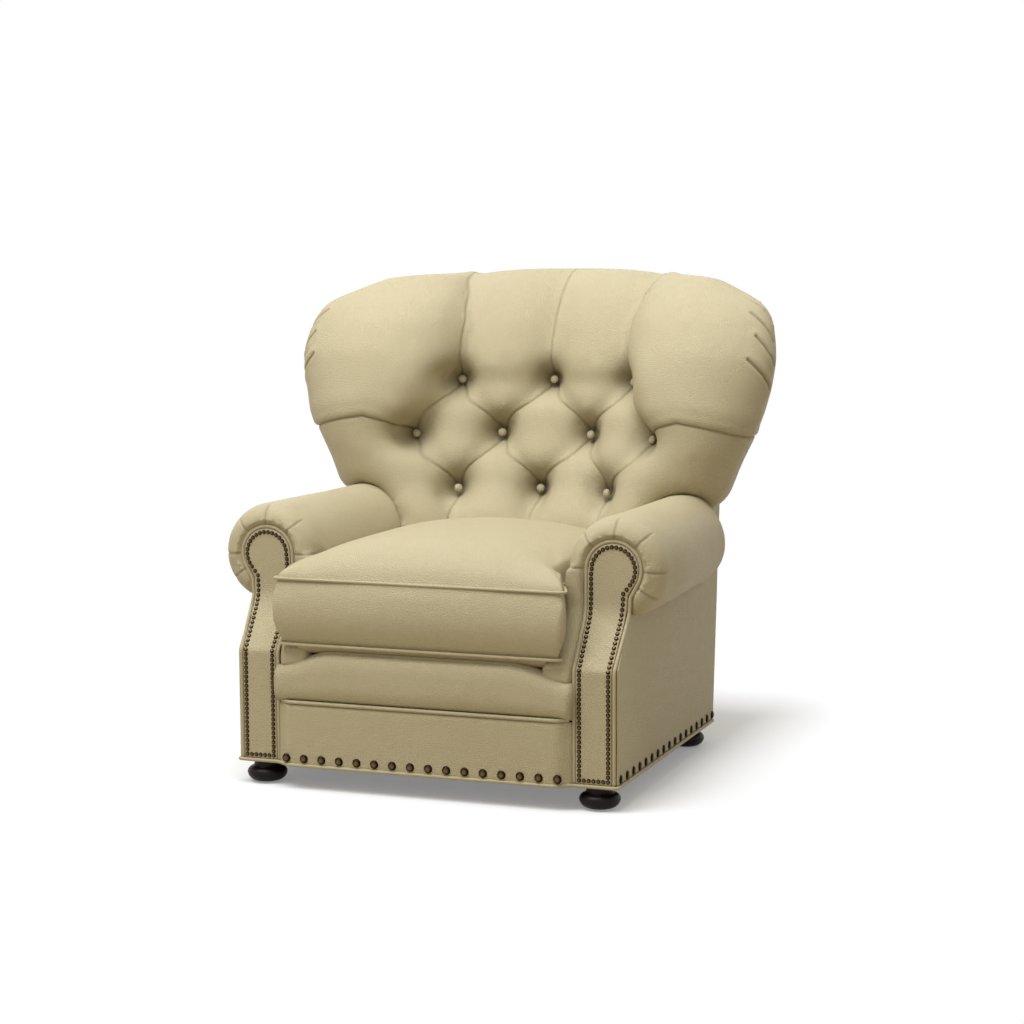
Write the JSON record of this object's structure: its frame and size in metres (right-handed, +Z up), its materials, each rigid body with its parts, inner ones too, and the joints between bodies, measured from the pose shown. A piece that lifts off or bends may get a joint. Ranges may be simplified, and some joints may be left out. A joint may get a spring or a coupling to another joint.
{
  "type": "leather armchair",
  "caption": "Wide leather armchair with a button-tufted barrel back, padded wings, rolled arms, nail-trimmed fronts, bun feet and a loose seat cushion.",
  "frame": {"origin": "on the floor, under the middle of the chair's outer box", "axes": "+Z up, -Y the front of the chair, +X to the right as seen from the front"},
  "size_m": [1.11, 1.0924, 1.054],
  "materials": {
    "leather": "semi-matte fine-pebbled khaki hide",
    "welt_leather": "semi-matte khaki hide, piped",
    "nail_brass": "antique bronzed brass",
    "foot_wood": "espresso lacquer",
    "frame_wood": "planed hardwood",
    "spring_steel": "drawn wire",
    "underside_cloth": "woven",
    "filling": "foam in calico",
    "zip_tape": "zip tape",
    "glide": "plain"
  },
  "bodies": {
    "chair": {"back_buttons": "welt_leather", "back_webbing": "underside_cloth", "base_welt": "welt_leather", "crest_rail": "frame_wood", "dust_cover": "underside_cloth", "foot_glides": "glide", "foot_hanger_bolts": "spring_steel", "front_base_nails": "nail_brass", "front_border_welt": "welt_leather", "front_edge_roll": "leather", "front_panel": "leather", "front_seat_rail": "frame_wood", "inside_back_pad": "leather", "left_arm_front_panel": "leather", "left_arm_nails": "nail_brass", "left_arm_pad": "leather", "left_arm_panel_welt": "welt_leather", "left_arm_rail": "frame_wood", "left_arm_stump": "frame_wood", "left_back_post": "frame_wood", "left_front_foot": "foot_wood", "left_lower_wing_pad": "leather", "left_outside_arm_panel": "leather", "left_rear_foot": "foot_wood", "left_seat_rail": "frame_wood", "left_side_base_nails": "nail_brass", "left_upper_wing_pad": "leather", "left_wing_post": "frame_wood", "lower_back_rail": "frame_wood", "outside_back_panel": "leather", "rear_base_nails": "nail_brass", "rear_corner_blocks": "frame_wood", "rear_seat_rail": "frame_wood", "right_arm_front_panel": "leather", "right_arm_nails": "nail_brass", "right_arm_pad": "leather", "right_arm_panel_welt": "welt_leather", "right_arm_rail": "frame_wood", "right_arm_stump": "frame_wood", "right_back_post": "frame_wood", "right_front_foot": "foot_wood", "right_lower_wing_pad": "leather", "right_outside_arm_panel": "leather", "right_rear_foot": "foot_wood", "right_seat_rail": "frame_wood", "right_side_base_nails": "nail_brass", "right_upper_wing_pad": "leather", "right_wing_post": "frame_wood", "seat_deck": "filling", "seat_springs": "spring_steel", "spring_clips": "spring_steel"},
    "cushion": {"cushion_bottom_panel": "leather", "cushion_boxing": "leather", "cushion_core": "filling", "cushion_top_panel": "leather", "cushion_welts": "welt_leather", "cushion_zip": "zip_tape"}
  },
  "joints": [
    {"name": "cushion_pull", "type": "slide", "parent": "chair", "child": "cushion", "axis": [0, -0.9781, 0.2079], "range_m": [0, 0.65]}
  ]
}
